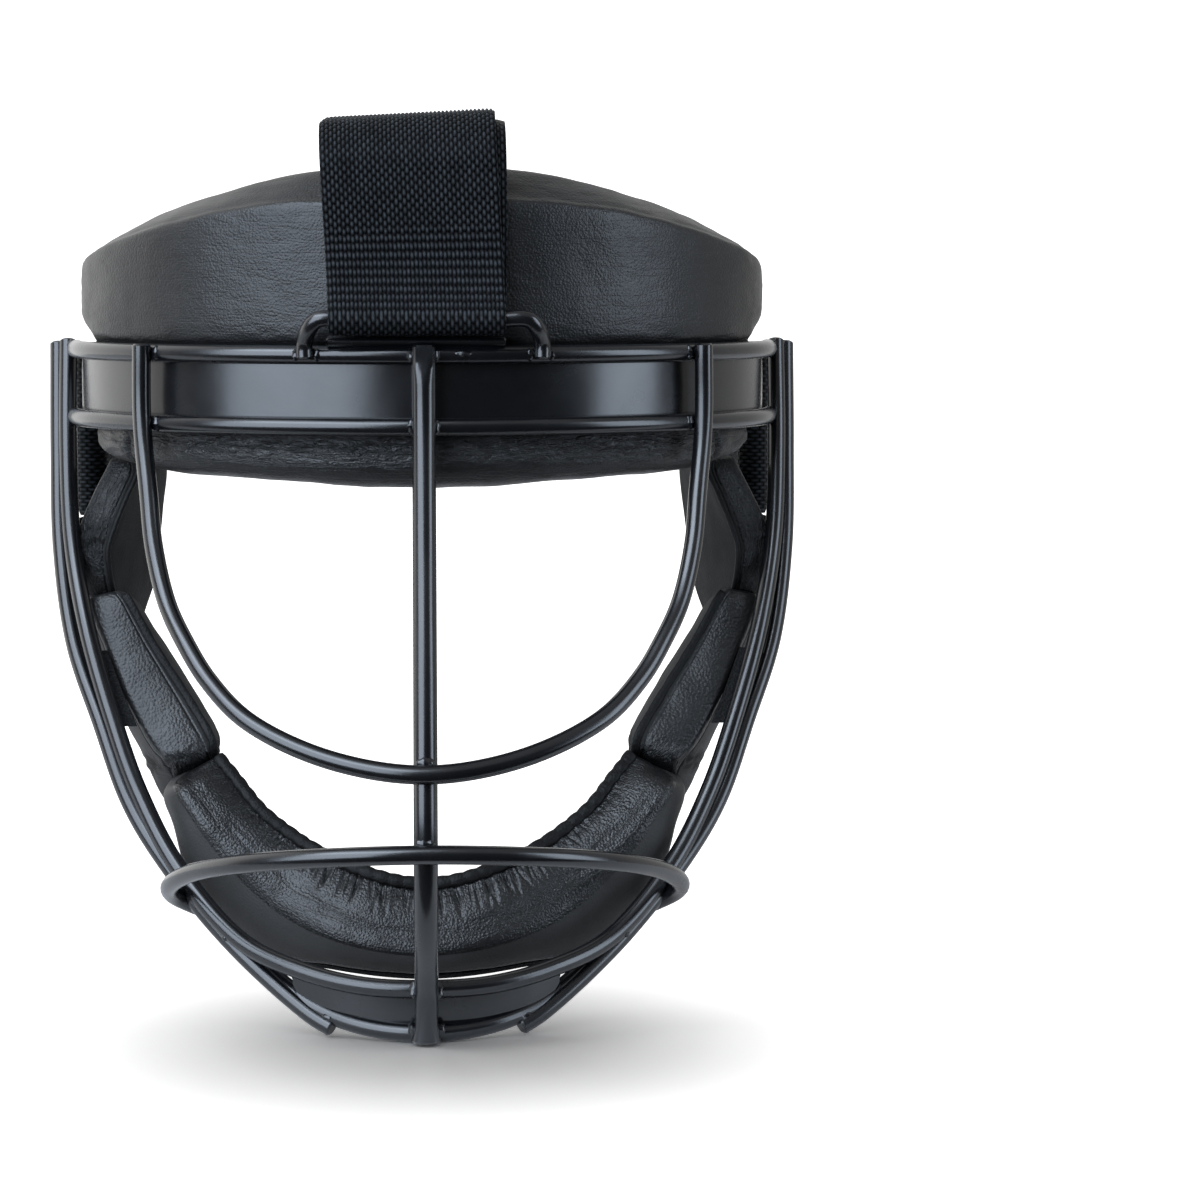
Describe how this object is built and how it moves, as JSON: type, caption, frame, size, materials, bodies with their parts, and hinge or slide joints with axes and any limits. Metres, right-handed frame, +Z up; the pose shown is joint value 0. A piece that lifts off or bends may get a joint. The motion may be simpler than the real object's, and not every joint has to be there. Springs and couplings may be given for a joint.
{
  "type": "field hockey face mask",
  "caption": "Field hockey face mask: a black welded wire cage with leather-covered foam pads inside and webbing straps that hold it on the head.",
  "frame": {"origin": "on the brow pad's inner face, where the forehead sits, level with the middle of the brow plate", "axes": "+Z up, -Y out of the front of the mask, +Y back into the head, +X towards the wearer's left"},
  "size_m": [0.221, 0.2373, 0.2556],
  "materials": {
    "coated_steel": "gloss black powder coat",
    "leather": "fine-grained black leather with a soft sheen",
    "webbing": "black ribbed webbing",
    "hook_tape": "black hook tape"
  },
  "bodies": {
    "root": {"cage": "coated_steel", "brow_pad": "leather", "temple_pad_left": "leather", "temple_pad_right": "leather", "cheek_pad_left": "leather", "cheek_pad_right": "leather", "chin_pad": "leather", "cheek_tape_left": "hook_tape", "cheek_tape_right": "hook_tape", "chin_tape": "hook_tape", "top_strap": "webbing", "back_strap": "webbing"}
  },
  "joints": []
}
